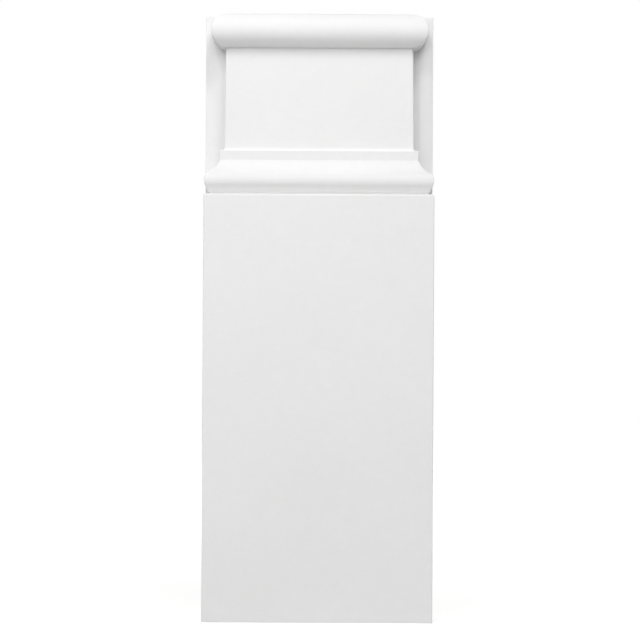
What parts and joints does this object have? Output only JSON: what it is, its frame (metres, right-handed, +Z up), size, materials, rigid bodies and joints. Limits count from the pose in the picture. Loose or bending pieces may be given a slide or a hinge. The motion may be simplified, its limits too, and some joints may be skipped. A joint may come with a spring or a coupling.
{
  "type": "column pedestal",
  "caption": "Wall-mounted pedestal for a pilaster or half column: a tall plain plinth block, mitred mouldings, a short neck and a half-round torus on a flat back plate.",
  "frame": {"origin": "the middle of the foot, at the centre of the bounding box's underside", "axes": "+X is the right side as seen from the front, the front faces -Y with the wall plane at +Y, +Z is up"},
  "size_m": [0.2, 0.056, 0.5291],
  "materials": {
    "white_primer": "factory white primer on cast rigid polyurethane foam: matte, with a very fine cast grain"
  },
  "bodies": {
    "root": {"pedestal": "white_primer"}
  },
  "joints": []
}
